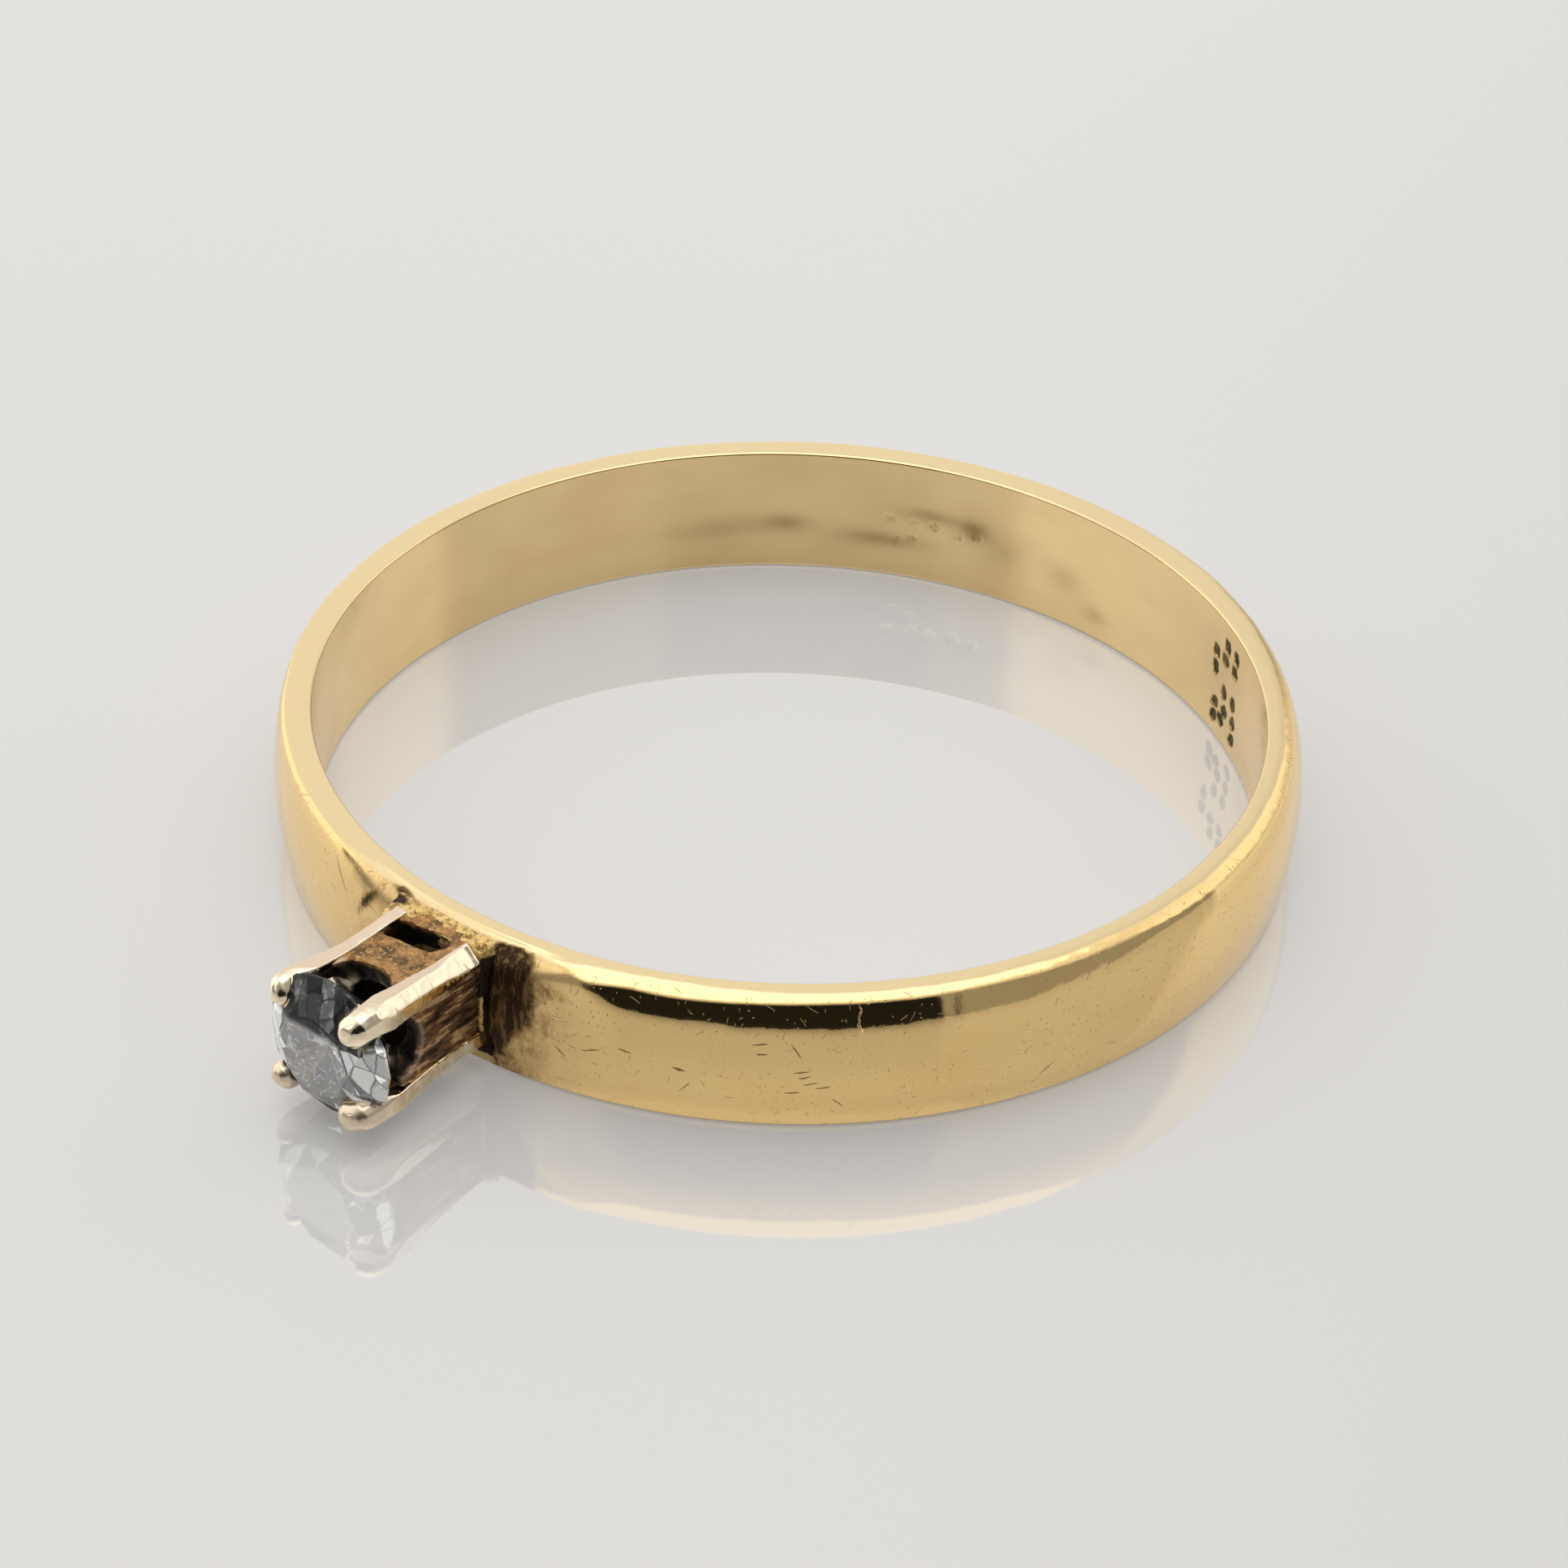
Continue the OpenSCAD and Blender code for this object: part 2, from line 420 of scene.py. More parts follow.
def marks_group():
    """A node group that gives 1 on a straight mark between two points of the band."""
    group = bpy.data.node_groups.new("mark", "ShaderNodeTree")
    sockets = group.interface
    sockets.new_socket("UV", in_out="INPUT", socket_type="NodeSocketVector")
    for name in ("U0", "V0", "U1", "V1", "Half width"):
        sockets.new_socket(name, in_out="INPUT", socket_type="NodeSocketFloat")
    sockets.new_socket("Mark", in_out="OUTPUT", socket_type="NodeSocketFloat")
    nodes = Nodes(group)
    given = nodes.add("NodeGroupInput").outputs
    start = nodes.join(given["U0"], given["V0"], 0.0)
    end = nodes.join(given["U1"], given["V1"], 0.0)
    run = nodes.vector("SUBTRACT", end, start)
    local = nodes.vector("SUBTRACT", given["UV"], start)
    share = nodes.math("DIVIDE", nodes.vector("DOT_PRODUCT", local, run),
                       nodes.vector("DOT_PRODUCT", run, run), clamp=True)
    away = nodes.vector("LENGTH", nodes.vector("SUBTRACT", local, nodes.scaled(run, share)))
    middle = nodes.times_plus(share, 2.0, -1.0)
    taper = nodes.flip(nodes.times(middle, middle, 0.8))
    ratio = nodes.math("DIVIDE", away, nodes.times(given["Half width"], taper))
    mark = nodes.flip(nodes.step(ratio, 0.4, 1.0))
    nodes.put(nodes.add("NodeGroupOutput").inputs[0], mark)
    return group


def yellow_gold():
    """Worn yellow gold of the band: wavy polish, fine scratches, pits, and tarnish by the head."""
    material, nodes, shader = new_material("yellow_gold")
    position = nodes.position()
    uv = nodes.band_coords(position)
    stain = nodes.attribute("stain")
    wear = nodes.attribute("wear")
    side = nodes.attribute("side")
    inside = nodes.attribute("inside")
    outer = nodes.flip(nodes.larger(side, inside))

    group = marks_group()
    ragged = nodes.noise(uv, 14.0, detail=4.0, out="Color")
    ragged = nodes.vector("MULTIPLY_ADD", ragged, (0.05, 0.035, 0.0), uv)
    marks = nodes.larger(0.0, *(nodes.mark(group, ragged, *mark) for mark in BAND_MARKS))
    wavy = nodes.noise(uv, 3.4, detail=3.0, out="Color")
    wavy = nodes.vector("MULTIPLY_ADD", wavy, (0.42, 0.1, 0.0), uv)
    gash = nodes.times(nodes.mark(group, wavy, *BAND_GASH), outer)

    ticks = scratch_layer(nodes, uv, 0.27, 0.17, 0.0065, 0.42, 0.05, 0.0, 6.3, 1)
    specks = scratch_layer(nodes, uv, 0.13, 0.05, 0.008, 0.28, 0.02, 0.0, 6.3, 2)
    hairs = scratch_layer(nodes, uv, 0.75, 0.6, 0.004, 0.35, 0.10, 0.25, 2.4, 3)
    pits = scratch_layer(nodes, uv, 0.45, 0.04, 0.014, 0.28, 0.0, 0.0, 6.3, 4)
    rubbed = nodes.step(nodes.noise(position, 0.9), 0.32, 0.52)
    ticks = nodes.times(ticks, rubbed)
    specks = nodes.times(specks, nodes.times_plus(rubbed, 0.8, 0.2))
    fine = nodes.times(nodes.larger(ticks, specks, nodes.times(hairs, 0.5)), outer)
    deep = nodes.times(nodes.larger(marks, nodes.times(pits, 0.8)), outer)

    grime = nodes.noise(position, 3.0, detail=7.0, roughness=0.72)
    streaks = nodes.noise(nodes.stretch(position, (3.0, 3.0, 0.6)), 3.0, detail=4.0, roughness=0.7)
    patchy = nodes.times(nodes.minus(grime, 0.5), 1.5)
    streaky = nodes.times(nodes.minus(streaks, 0.5), 0.5)
    dirt = nodes.times(nodes.plus(stain, patchy, streaky), nodes.step(stain, 0.0, 0.25))
    brown = nodes.step(dirt, 0.08, 0.55)
    black = nodes.step(dirt, 0.38, 0.72)

    cloud = nodes.noise(position, 0.7, detail=3.0)
    handled = nodes.step(nodes.noise(nodes.stretch(position, (1.0, 1.0, 2.2)), 0.4), 0.40, 0.70)
    smeared = nodes.times(nodes.attribute("smudge"), nodes.times_plus(cloud, 0.6, 0.5))
    blotches = nodes.step(nodes.noise(position, 4.0, detail=5.0, roughness=0.7), 0.35, 0.7)
    dull = nodes.times_plus(nodes.times(wear, blotches), 0.5, nodes.times(wear, 0.25))
    soot = nodes.mix(inside, TARNISH_AND_SHADE, TARNISH_GREEN)
    sheen = nodes.times(nodes.step(streaks, 0.48, 0.62), 0.5)
    sooty = nodes.minus(nodes.times(black, 0.95), nodes.times(black, sheen))
    base = nodes.layered(
        nodes.mix(cloud, GOLD, GOLD_WARM),
        (side, RIM_GOLD),
        (inside, INNER_GOLD),
        (nodes.times(handled, inside, 0.16), HANDLED_GOLD),
        (smeared, SMUDGE_BROWN),
        (dull, DULL_GOLD),
        (nodes.times(fine, 0.75), TARNISH_BROWN),
        (nodes.times(deep, 0.85), TARNISH_BROWN),
        (nodes.times(brown, 0.8), STAIN_BROWN),
        (sooty, soot),
    )

    smudge = nodes.noise(position, 1.6, detail=4.0, roughness=0.6)
    roughness = nodes.times_plus(smudge, 0.08, 0.035)
    for area, rougher in ((wear, 0.2), (side, 0.12), (inside, 0.10), (brown, 0.25)):
        roughness = nodes.times_plus(area, rougher, roughness)

    normal = nodes.bump(nodes.noise(position, 1.1, detail=3.0), 0.6, 0.02)
    normal = nodes.bump(nodes.noise(position, 24.0, detail=3.0), 0.3, 0.002, normal)
    normal = nodes.bump(nodes.noise(position, 3.2, detail=3.0), 0.4, 0.004, normal)
    normal = nodes.bump(nodes.flip(nodes.larger(fine, deep)), 0.7, 0.004, normal)
    normal = nodes.bump(gash, 1.0, 0.035, normal)
    nodes.fill(shader, {"Base Color": base, "Metallic": 1.0, "Roughness": roughness, "Normal": normal})
    return material


def pale_gold():
    """Paler gold of the claws, with bright worn edges, faint scratches, and painted shade on their outward
    flanks.
    """
    material, nodes, shader = new_material("pale_gold")
    position = nodes.position()
    x, y, z = nodes.split(position)
    uv = nodes.join(nodes.plus(x, z), y, 0.0)
    cloud = nodes.noise(position, 2.5, detail=4.0)
    grime = nodes.noise(position, 7.0, detail=6.0, roughness=0.7)
    foot = nodes.flip(nodes.step(nodes.times(y, -1.0), seat_out + 0.1, seat_out + 0.9))
    spots = nodes.step(nodes.times_plus(foot, 0.12, grime), 0.66, 0.78)
    matte = nodes.attribute("matte")
    inner = nodes.attribute("stain")
    base = nodes.layered(
        nodes.mix(cloud, PALE_GOLD, CREAM_GOLD),
        (matte, MATTE_GOLD),
        (nodes.times(spots, 0.7), TARNISH_BROWN),
        (inner, TARNISH_BROWN),
        # Painted shade: the outward flanks are darkened in patches
        (nodes.times(nodes.attribute("bronze"), nodes.step(grime, 0.3, 0.55)), FLANK_SHADE),
    )
    fine = scratch_layer(nodes, uv, 0.18, 0.3, 0.008, 0.4, 0.1, 0.9, 2.0, 5)
    roughness = nodes.times_plus(cloud, 0.10, 0.05)
    for area, rougher in ((matte, 0.22), (inner, 0.3)):
        roughness = nodes.times_plus(area, rougher, roughness)
    normal = nodes.bump(nodes.noise(position, 4.0, detail=4.0), 0.35, 0.014)
    normal = nodes.bump(nodes.flip(fine), 0.5, 0.005, normal)
    nodes.fill(shader, {"Base Color": base, "Metallic": 1.0, "Roughness": roughness, "Normal": normal})
    return material


def tarnished_gold():
    """Brown, tarnished walls of the collet, with a few rubbed places, pale notch lips that are partly a
    painted highlight, and painted shade in its hollows.
    """
    material, nodes, shader = new_material("tarnished_gold")
    position = nodes.position()
    patches = nodes.noise(position, 3.2, detail=6.0, roughness=0.7, distortion=0.4)
    flank = nodes.step(nodes.math("ABSOLUTE", nodes.split(position)[0]), 0.78, 0.86)
    streaks = nodes.noise(nodes.stretch(position, (1.0, 0.35, 1.6)), 4.5, detail=5.0, roughness=0.65)
    grain = nodes.noise(position, 13.0, detail=5.0, roughness=0.7, distortion=0.6)
    side_wall = nodes.layered(
        (0.035, 0.018, 0.010, 1.0),
        (nodes.step(streaks, 0.38, 0.52), (0.20, 0.095, 0.04, 1.0)),
        (nodes.step(streaks, 0.52, 0.60), (0.62, 0.40, 0.20, 1.0)),
    )
    base = nodes.layered(
        (0.10, 0.05, 0.02, 1.0),
        (nodes.step(patches, 0.36, 0.60), (0.42, 0.22, 0.075, 1.0)),
        (nodes.step(grain, 0.50, 0.72), (0.70, 0.45, 0.18, 1.0)),
        (flank, side_wall),
        # Pale notch lips: rubbed metal, partly a painted highlight
        (nodes.attribute("lip"), (0.66, 0.55, 0.42, 1.0)),
        # Painted shade: the hollows inside the collet are near-black
        (nodes.attribute("stain"), (0.014, 0.013, 0.010, 1.0)),
    )
    roughness = nodes.times_plus(patches, 0.3, 0.22)
    normal = nodes.bump(streaks, 0.5, 0.05, nodes.bump(grain, 0.8, 0.035))
    nodes.fill(shader, {"Base Color": base, "Metallic": 0.85, "Roughness": roughness, "Normal": normal})
    return material


def gold_solder():
    """Granular, unpolished solder."""
    material, nodes, shader = new_material("gold_solder")
    position = nodes.position()
    grain = nodes.noise(position, 9.0, detail=6.0, roughness=0.75)
    # Dark spots: tarnish, deepened by painted shade along the top edge
    dark = nodes.step(nodes.times_plus(grain, 0.5, nodes.attribute("stain")), 0.6, 0.95)
    base = nodes.layered(
        (0.26, 0.14, 0.04, 1.0),
        (nodes.step(grain, 0.38, 0.56), (0.86, 0.61, 0.24, 1.0)),
        (dark, TARNISH_AND_SHADE),
    )
    roughness = nodes.times_plus(grain, 0.3, 0.18)
    normal = nodes.bump(grain, 0.8, 0.05)
    nodes.fill(shader, {"Base Color": base, "Metallic": 0.95, "Roughness": roughness, "Normal": normal})
    return material


def brilliant():
    """A diamond: gleaming shards on its crown, a scratched table, and dark grime caught round it.

    Its surface is a mix of clear diamond, mirror-like shards of reflected light, and grime.
    """
    material, nodes, shader = new_material("brilliant")
    position = nodes.position()
    film = nodes.noise(position, 4.0, detail=5.0, roughness=0.7)
    greasy = nodes.times(nodes.step(film, 0.5, 0.8), 0.10)
    nodes.fill(shader, {"Base Color": CLEAR, "Transmission Weight": 1.0})
    nodes.fill(shader, {"IOR": DIAMOND_IOR, "Roughness": greasy})
    grime = nodes.add("ShaderNodeBsdfPrincipled")
    nodes.fill(grime, {"Base Color": GRIME, "Roughness": 0.45, "Specular IOR Level": 0.15})
    x, y, z = nodes.split(position)
    z = nodes.minus(z, head_rise)
    out = nodes.times(y, -1.0)
    crown = nodes.step(out, girdle_out - 0.01, girdle_out + 0.02)
    table = nodes.step(out, table_out - 0.02, table_out - 0.005)
    flat = nodes.join(nodes.times_plus(z, 0.4, x), nodes.times(z, 0.55), 0.0)
    flat = nodes.vector("ADD", flat, nodes.stretch(nodes.noise(flat, 2.0, out="Color"), (0.12, 0.12, 0.0)))
    shard = nodes.voronoi(flat, SHARD_SIZE)["Color"]
    lit, tone, _ = nodes.split(shard)
    seam = nodes.step(nodes.voronoi(flat, SHARD_SIZE, "DISTANCE_TO_EDGE")["Distance"], 0.02, 0.06)
    chips = scratch_layer(nodes, nodes.join(x, z, 0.0), 0.13, 0.25, 0.010, 0.5, 0.08, 0.6, 2.2, 7)
    right = nodes.step(nodes.math("ABSOLUTE", nodes.plus(x, 0.15)), 0.3, 0.95)
    chosen = nodes.step(nodes.times_plus(right, 0.22, lit), 0.50, 0.58)
    shards_shine = nodes.times(chosen, nodes.times_plus(tone, 0.35, 0.65))
    shards_shine = nodes.times_plus(nodes.attribute("gleam"), 0.12, shards_shine)
    shards_shine = nodes.times(shards_shine, nodes.times_plus(seam, 0.8, 0.2))
    table_shine = nodes.times_plus(chips, 0.5, nodes.times_plus(film, 0.25, 0.04))
    shine = nodes.times_plus(table, nodes.minus(table_shine, shards_shine), shards_shine)
    shine = nodes.math("MULTIPLY", shine, crown, clamp=True)
    # Each shard of reflected light comes from its own direction
    lean = nodes.vector("MULTIPLY_ADD", shard, (1.3, 1.3, 1.3), (-0.65, -0.65, -0.15))
    lean = nodes.scaled(lean, nodes.flip(nodes.times(table, 0.85)))
    facing = nodes.add("ShaderNodeNewGeometry").outputs["Normal"]
    tilted = nodes.vector("NORMALIZE", nodes.vector("ADD", facing, lean))
    gleam = nodes.add("ShaderNodeBsdfPrincipled")
    nodes.fill(gleam, {"Base Color": MIRROR, "Metallic": 1.0})
    nodes.fill(gleam, {"Roughness": nodes.times_plus(film, 0.3, 0.02)})
    nodes.fill(gleam, {"Normal": nodes.bump(film, 0.4, 0.01, tilted)})
    bright = nodes.mix_shader(shine, shader.outputs[0], gleam.outputs[0])
    below = nodes.flip(nodes.step(out, girdle_out - 0.03, girdle_out + 0.005))
    patches = nodes.step(nodes.noise(position, 1.3, detail=3.0), 0.30, 0.62)
    dusty = nodes.times(below, nodes.times_plus(patches, 0.18, 0.02))
    smear = nodes.step(nodes.noise(position, 3.5, detail=4.0, roughness=0.6), 0.30, 0.50)
    over_crown = nodes.times(nodes.step(z, 0.45, 0.62), 0.93, nodes.times_plus(smear, 0.2, 0.8))
    rim = nodes.step(nodes.vector("LENGTH", nodes.join(x, z, 0.0)), stone_r - 0.34, stone_r - 0.24)
    downward = nodes.minus(nodes.times(z, -1.0), nodes.times(x, 0.45))
    under_crown = nodes.times(nodes.step(downward, 0.72, 0.84), rim)
    amount = nodes.larger(dusty, over_crown, under_crown)
    mixed = nodes.mix_shader(amount, bright, grime.outputs[0])
    nodes.fill(material.node_tree.nodes["Material Output"], {"Surface": mixed})
    return material


def floor_material():
    """A white back-lit glass table: glossy, and lit partly from below, so that shadows stay faint."""
    material, nodes, shader = new_material("pale_floor")
    nodes.fill(shader, {"Base Color": FLOOR_GREY, "Roughness": 0.03, "IOR": FLOOR_IOR})
    nodes.fill(shader, {"Emission Color": FLOOR_LIGHT, "Emission Strength": FLOOR_GLOW})
    return material


# ---------------- stage


def make_floor():
    """A pale glossy table top, just under the side of the band that the ring lies on."""
    size = 1500.0
    corners = [(-size, -size, 0), (size, -size, 0), (size, size, 0), (-size, size, 0)]
    piece = mesh_object("floor", corners, [(0, 1, 2, 3)], floor_material())
    piece.location = (0.0, 0.0, (band_low.z - 0.02) * MM)


def make_world():
    """A studio: white overhead and at the sides, and the dark room behind the camera."""
    world = bpy.data.worlds.new("studio")
    bpy.context.scene.world = world
    world.use_nodes = True
    nodes = Nodes(world.node_tree)
    background = world.node_tree.nodes["Background"]
    direction = nodes.add("ShaderNodeTexCoord").outputs["Generated"]
    turned = nodes.add("ShaderNodeVectorRotate", rotation_type="Z_AXIS")
    nodes.fill(turned, {"Vector": direction, "Angle": -math.radians(CAMERA_AZIMUTH)})
    x, y, z = nodes.split(turned.outputs[0])
    azimuth = nodes.times(nodes.math("ARCTAN2", x, nodes.times(y, -1.0)), 180 / math.pi)
    elevation = nodes.times(nodes.math("ARCSINE", z), 180 / math.pi)
    below_lamps = nodes.flip(nodes.step(elevation, 36.0, 56.0))
    below_eyes = nodes.flip(nodes.step(elevation, 28.0, 44.0))
    low = nodes.flip(nodes.step(elevation, 14.0, 28.0))
    mid = nodes.span(elevation, 16.0, 52.0, 6.0)
    light = nodes.times_plus(nodes.step(elevation, 56.0, 64.0), 1.1, 1.0)
    # Parts of the room: azimuth from and to, softness, height, and the light that each adds
    for start, end, soft, height, change in (
        (-147.0, -57.0, 4.0, below_lamps, 0.35),
        (97.0, 150.0, 6.0, below_lamps, 0.25),
        (-57.0, 97.0, 4.0, below_lamps, -0.66),
        (-36.0, 34.0, 3.0, below_eyes, -0.325),
        (-96.0, -57.0, 4.0, low, -1.1),
        (97.0, 165.0, 8.0, low, -0.45),
        (152.0, 172.0, 8.0, mid, -0.18),
    ):
        part = nodes.times(nodes.span(azimuth, start, end, soft), height)
        light = nodes.times_plus(part, change, light)
    nodes.fill(background, {"Color": (1.0, 0.995, 0.985, 1.0), "Strength": light})


# ---------------- band

HEAD_HALF = 1.08
SHOULDER_START = 1.3
SHOULDER_END = 3.3
SHOULDER_CUT = 0.24


# The band's crown is a little fuller than the CAD's, and its upper outer edge is worn to two facets.
# Each facet: its normal outward and up, and its distance along that normal from the hole's edge
CROWN_PROUD = 0.03
WORN_FACETS = [(0.914, 0.407, 0.928), (0.530, 0.848, 1.277)]
UNWORN = 0.13
FACET_SOFTNESS = 0.02
SHOULDER_SOFTNESS = 0.075


def softened(over, softness):
    """How far a worn flat cuts into a place that stands over it, rounded off at the flat's edges."""
    return softness * math.log1p(math.exp(min(over / softness, 30.0)))


def band_profile(worn, wave):
    """The band's section as (radius, z) points, going once round.

    worn (0 to 1 for each facet) sets how deep the facets cut, and wave moves them in or out.
    """
    points = []
    bend_z = half_w - EDGE_R
    drop = crown_top_r + CROWN_PROUD - side_r
    arc_r = (drop ** 2 + bend_z ** 2 - EDGE_R ** 2) / (2 * (drop - EDGE_R))
    arc_c = crown_top_r + CROWN_PROUD - arc_r
    inner_steps, side_steps, edge_steps, crown_steps = 88, 10, 10, 110
    wall = half_w - INNER_BREAK
    for i in range(inner_steps + 1):
        points.append((hole_r, -wall + 2 * wall * i / inner_steps))
    for i in range(1, side_steps + 1):
        turned = math.radians(90 * i / side_steps)
        points.append((hole_r + INNER_BREAK * (1 - math.cos(turned)), wall + INNER_BREAK * math.sin(turned)))
    for i in range(1, side_steps + 1):
        points.append((hole_r + INNER_BREAK + (side_r - hole_r - INNER_BREAK) * i / side_steps, half_w))
    tangent = math.asin(bend_z / (arc_r - EDGE_R))
    for i in range(1, edge_steps + 1):
        a = math.pi / 2 + (tangent - math.pi / 2) * i / edge_steps
        points.append((side_r + EDGE_R * math.cos(a), bend_z + EDGE_R * math.sin(a)))
    for i in range(1, crown_steps):
        a = tangent * (1 - 2 * i / crown_steps)
        points.append((arc_c + arc_r * math.cos(a), arc_r * math.sin(a)))
    mirrored = [(r, -z) for r, z in points[inner_steps + 1:inner_steps + 1 + 2 * side_steps + edge_steps]]
    points += mirrored[::-1]
    cut = []
    for r, z in points:
        for (across, up, reach), share in zip(WORN_FACETS, worn):
            over = (r - hole_r) * across + z * up - reach - UNWORN * (1 - share) - wave
            if over > -6 * FACET_SOFTNESS and z > 0 and r > hole_r + 0.25:
                depth = softened(over, FACET_SOFTNESS)
                r -= depth * across
                z -= depth * up
        cut.append((r, z))
    return cut


# Plain oval punch marks inside the band: the angle round the band at the group's middle, how many
# columns and rows, the lowest row's height, the spaces between columns and rows, and the depth
PUNCH_GROUPS = [
    (147.0, 3, 6, -0.89, 0.44, 0.335, 0.05),
    (199.2, 5, 2, -0.45, 0.44, 0.38, 0.010),
]


def punch_depth(angle, z):
    """Depth of the punch marks at a place inside the band, in millimetres."""
    depth = 0.0
    for middle, columns, rows, lowest, space, rise, deep in PUNCH_GROUPS:
        u = math.radians(degrees_from(middle, angle)) * hole_r / space + (columns - 1) / 2
        v = (z - lowest) / rise
        i, j = round(u), round(v)
        if not (0 <= i < columns and 0 <= j < rows):
            continue
        key = noise.cell(Vector((i * 3.7 + 0.5, j * 5.3 + 0.5, middle)))
        if abs(key) < 0.18:
            continue
        du = (u - i) * space + 0.08 * key + 0.3 * (v - j) * rise * key
        dv = (v - j) * rise + 0.06 * key
        d = math.hypot(du / (0.13 + 0.06 * abs(key)), dv / (0.20 - 0.06 * abs(key)))
        d += 0.25 * noise.noise(Vector((u * 4.0, v * 4.0, middle)))
        depth = max(depth, deep * (1 - smoothstep(0.5, 1.1, d)))
    return depth


# Soft brown smudges inside the band: angle, height, half length, half height, and strength
SMUDGES = [
    (219.5, -0.3, 0.45, 0.20, 0.7),
    (228.0, -0.4, 1.00, 0.25, 0.4),
    (206.5, -0.5, 0.80, 0.18, 0.7),
    (200.0, 0.2, 0.60, 0.15, 0.6),
    (194.0, 0.1, 0.35, 0.25, 0.9),
    (189.5, -0.2, 0.50, 0.40, 0.4),
    (180.5, -0.3, 0.40, 0.30, 0.35),
    (175.0, -0.8, 0.30, 0.20, 0.4),
    (148.0, 0.0, 0.90, 1.00, 0.35),
]


def smudge_at(angle, z):
    """How brown the inside of the band is at a place, from 0 to 1."""
    brown = 0.0
    for middle, height, half_long, half_high, strength in SMUDGES:
        along = math.radians(degrees_from(middle, angle)) * hole_r / half_long
        brown += strength * bell(along, (z - height) / half_high)
    return min(brown, 1.0)


def band_angles():
    """Angles round the band, closer together at the inner punch marks."""
    angles = []
    a = -180.0
    while a < 180.0:
        angles.append(a)
        near = any(abs(degrees_from(group[0], a)) < 9 for group in PUNCH_GROUPS)
        a += 0.15 if near else 0.4
    return angles


def band_stain(s, z):
    """How tarnished the outer face is, s millimetres round from the head."""
    top = smoothstep(1.42, 1.15, z)
    edge = 1.98 - 0.14 * smoothstep(0.5, 1.2, z) - 0.62 * smoothstep(0.3, -0.8, z)
    patch = smoothstep(edge + 0.30, edge - 0.32, s) * smoothstep(0.9, 1.15, s) * top
    patch *= smoothstep(-1.15, -0.80, z)
    left = 0.75 * bell((s + 1.85 - 0.5 * (z - 0.8)) / 0.15, (z - 0.8) / 0.35)
    corner = 0.9 * bell((s + 1.15) / 0.28, (z - 1.24) / 0.10)
    foot = 0.65 * bell((abs(s) - 1.12) / 0.10)
    halo = 0.30 * smoothstep(edge + 1.4, edge, s) * smoothstep(0.9, 1.15, s) * smoothstep(1.25, 0.7, z)
    return max(patch, left, foot, corner, halo)


def make_band(material):
    angles = band_angles()
    count = len(band_profile((0.0, 0.0), 0.0))
    points, stain, wear, side, inside, smudge = [], [], [], [], [], []
    for a in angles:
        rad = math.radians(a)
        s = rad * outer_mean_r
        shoulder = smoothstep(SHOULDER_END, SHOULDER_START, abs(s))
        limit = side_r + EDGE_R * 0.6 + half_w - SHOULDER_CUT * shoulder
        far = smoothstep(28.0, 20.0, abs(s))
        left_wear = 0.35 * smoothstep(-2.0, -3.0, s) * far
        low_facet = (smoothstep(2.1, 3.7, s) - 0.22 * smoothstep(9.5, 13.0, s)) * far + left_wear
        high_facet = (smoothstep(1.9, 3.0, s) + 0.22 * bell((s - 4.4) / 1.3)) * far + left_wear
        wave = 0.012 * noise.noise(Vector((s / 0.9, 1.0, 5.0)))
        wave += 0.006 * noise.noise(Vector((s / 0.3, 4.0, 5.0)))
        for r, z in band_profile((low_facet, high_facet), wave):
            outer = smoothstep(hole_r + 0.3, hole_r + 0.5, r)
            flat = smoothstep(half_w - 0.02, half_w - 0.004, abs(z))
            within = smoothstep(hole_r + 0.03, hole_r + 0.01, r)
            dirt = 0.0
            if outer > 0:
                wave = noise.noise(Vector((s / 1.9, z / 1.3, 3.0)))
                wave += 0.5 * noise.noise(Vector((s / 0.7, z / 0.6, 8.0)))
                r += 0.006 * wave * outer
                over = r + z - limit
                if shoulder > 0 and z > 0:
                    depth = softened(over, SHOULDER_SOFTNESS) * smoothstep(0.0, 0.3, shoulder)
                    r -= depth * 0.5
                    z -= depth * 0.5
            elif within > 0.5 and abs(z) < half_w - INNER_BREAK:
                depth = punch_depth(a, z)
                dirt = min(depth / 0.045, 1.0)
                r += depth
            x, y = r * math.sin(rad), -r * math.cos(rad)
            if abs(x) < HEAD_HALF and y < -seat_out:
                y = -seat_out
            points.append((x, y, z))
            stain.append(max(band_stain(s, z) * outer if abs(s) < 4 else 0.0, dirt))
            wear.append(smoothstep(3.4, 1.4, abs(s)) * outer)
            side.append(flat)
            inside.append(within)
            smudge.append(smudge_at(a, z) * within)
    around = len(angles)
    faces = []
    for i in range(around):
        j = (i + 1) % around
        for k in range(count):
            m = (k + 1) % count
            faces.append((i * count + k, j * count + k, j * count + m, i * count + m))
    piece = mesh_object("band", points, faces, material,
                        stain=stain, wear=wear, side=side, inside=inside, smudge=smudge)
    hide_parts("shank")
    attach(piece, "root")


# ---------------- organic solids for the head


def hull_of(bm, points):
    """Adds the convex hull of some points to a bmesh."""
    verts = [bm.verts.new(p) for p in points]
    made = bmesh.ops.convex_hull(bm, input=verts)
    loose = [v for v in made["geom_interior"] if isinstance(v, bmesh.types.BMVert)]
    bmesh.ops.delete(bm, geom=loose, context="VERTS")


def ball_points(centre, r, rings=6, around=12):
    points = []
    for i in range(rings + 1):
        p = math.pi * i / rings
        for j in range(around if 0 < i < rings else 1):
            t = 2 * math.pi * j / around
            points.append((
                centre[0] + r * math.sin(p) * math.cos(t),
                centre[1] + r * math.sin(p) * math.sin(t),
                centre[2] + r * math.cos(p),
            ))
    return points


